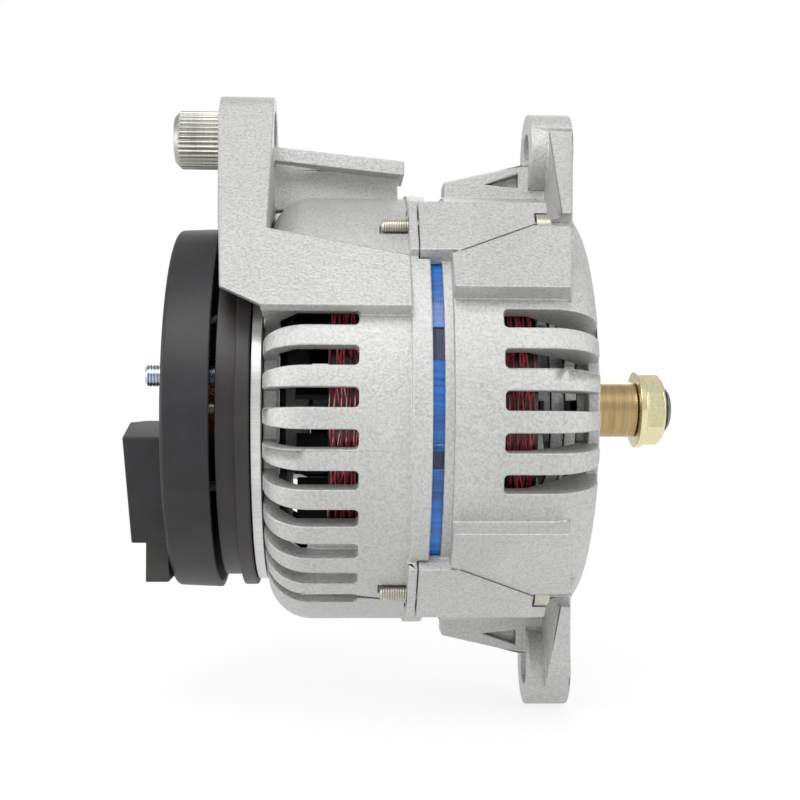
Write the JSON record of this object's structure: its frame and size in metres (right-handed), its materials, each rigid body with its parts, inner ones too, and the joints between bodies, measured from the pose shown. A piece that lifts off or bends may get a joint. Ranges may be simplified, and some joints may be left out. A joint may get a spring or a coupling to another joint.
{
  "type": "alternator",
  "caption": "Heavy vehicle alternator with cast shields, claw pole rotor, internal fans, slip rings, rectifier, mounting ears and an adjusting bush.",
  "frame": {"origin": "on the shaft axis, in the plane of the rear faces of the two drive end ears, where the engine's bracket ends", "axes": "+X along the shaft towards the drive end, +Z from the shaft to the upper ears, the pictured side at -Y"},
  "size_m": [0.189, 0.15, 0.2152],
  "materials": {
    "cast_aluminium": "sand cast, light grey, with machined seats",
    "machined_steel": "machined steel",
    "dark_steel": "forged iron, dark",
    "blue_lacquer": "laminations under blue lacquer",
    "copper_lacquer": "enamelled wire under dark red varnish",
    "copper": "bare or enamelled copper",
    "black_plastic": "moulded black plastic",
    "carbon": "carbon and copper brush stock",
    "yellow_zinc": "steel with yellow zinc plating",
    "bronze_sleeve": "steel with a golden brown film",
    "blue_zinc": "steel with blue-white zinc plating"
  },
  "bodies": {
    "machine_frame": {"front_housing": "cast_aluminium", "rear_housing": "cast_aluminium", "stator_core": "blue_lacquer", "stator_winding": "copper_lacquer", "through_bolt_1": "machined_steel", "through_bolt_2": "machined_steel", "through_bolt_3": "machined_steel", "through_bolt_4": "machined_steel", "front_bearing_outer_race": "machined_steel", "rear_bearing_outer_race": "machined_steel", "bearing_retainer": "machined_steel", "negative_plate": "cast_aluminium", "rectifier_insulator": "black_plastic", "positive_plate": "cast_aluminium", "diode_1": "machined_steel", "diode_2": "machined_steel", "diode_3": "machined_steel", "diode_4": "machined_steel", "diode_5": "machined_steel", "diode_6": "machined_steel", "brush_holder": "black_plastic", "brush_spring_outer": "machined_steel", "brush_spring_inner": "machined_steel", "rear_cover": "black_plastic", "battery_stud": "blue_zinc", "battery_stud_nut": "blue_zinc", "signal_connector": "black_plastic", "cover_screw_1": "machined_steel", "cover_screw_2": "machined_steel", "cover_screw_3": "machined_steel", "cover_screw_4": "machined_steel"},
    "rotor": {"rotor_shaft": "machined_steel", "claw_pole_front": "dark_steel", "claw_pole_rear": "dark_steel", "rotor_core": "dark_steel", "field_coil": "copper", "front_fan": "machined_steel", "rear_fan": "machined_steel", "front_bearing_inner_race": "machined_steel", "rear_bearing_inner_race": "machined_steel", "shaft_sleeve": "bronze_sleeve", "pulley_nut": "yellow_zinc", "slip_ring_core": "black_plastic", "slip_ring_outer": "copper", "slip_ring_inner": "copper"},
    "front_cage": {"front_bearing_balls": "machined_steel"},
    "rear_cage": {"rear_bearing_balls": "machined_steel"},
    "bush": {"ear_bush": "machined_steel"},
    "outer_brush": {"brush_outer": "carbon"},
    "inner_brush": {"brush_inner": "carbon"}
  },
  "joints": [
    {"name": "rotor_spin", "type": "hinge", "parent": "machine_frame", "child": "rotor", "pos_m": [0, 0, 0], "axis": [1, 0, 0], "continuous": true},
    {"name": "front_cage_spin", "type": "hinge", "parent": "machine_frame", "child": "front_cage", "pos_m": [0.0155, 0, 0], "axis": [1, 0, 0], "continuous": true},
    {"name": "rear_cage_spin", "type": "hinge", "parent": "machine_frame", "child": "rear_cage", "pos_m": [-0.08185, 0, 0], "axis": [1, 0, 0], "continuous": true},
    {"name": "bush_slide", "type": "slide", "parent": "machine_frame", "child": "bush", "axis": [1, 0, 0], "range_m": [0, 0.014]},
    {"name": "outer_brush_slide", "type": "slide", "parent": "machine_frame", "child": "outer_brush", "axis": [0, 0, 1], "range_m": [0, 0.005], "stiffness_N_per_m": 250, "springref_m": -0.012, "deforming": ["brush_spring_outer"]},
    {"name": "inner_brush_slide", "type": "slide", "parent": "machine_frame", "child": "inner_brush", "axis": [0, 0, 1], "range_m": [0, 0.005], "stiffness_N_per_m": 250, "springref_m": -0.012, "deforming": ["brush_spring_inner"]}
  ],
  "couplings": [
    {"joint": "front_cage_spin", "follows": "rotor_spin", "ratio": 0.384},
    {"joint": "rear_cage_spin", "follows": "rotor_spin", "ratio": 0.45}
  ]
}
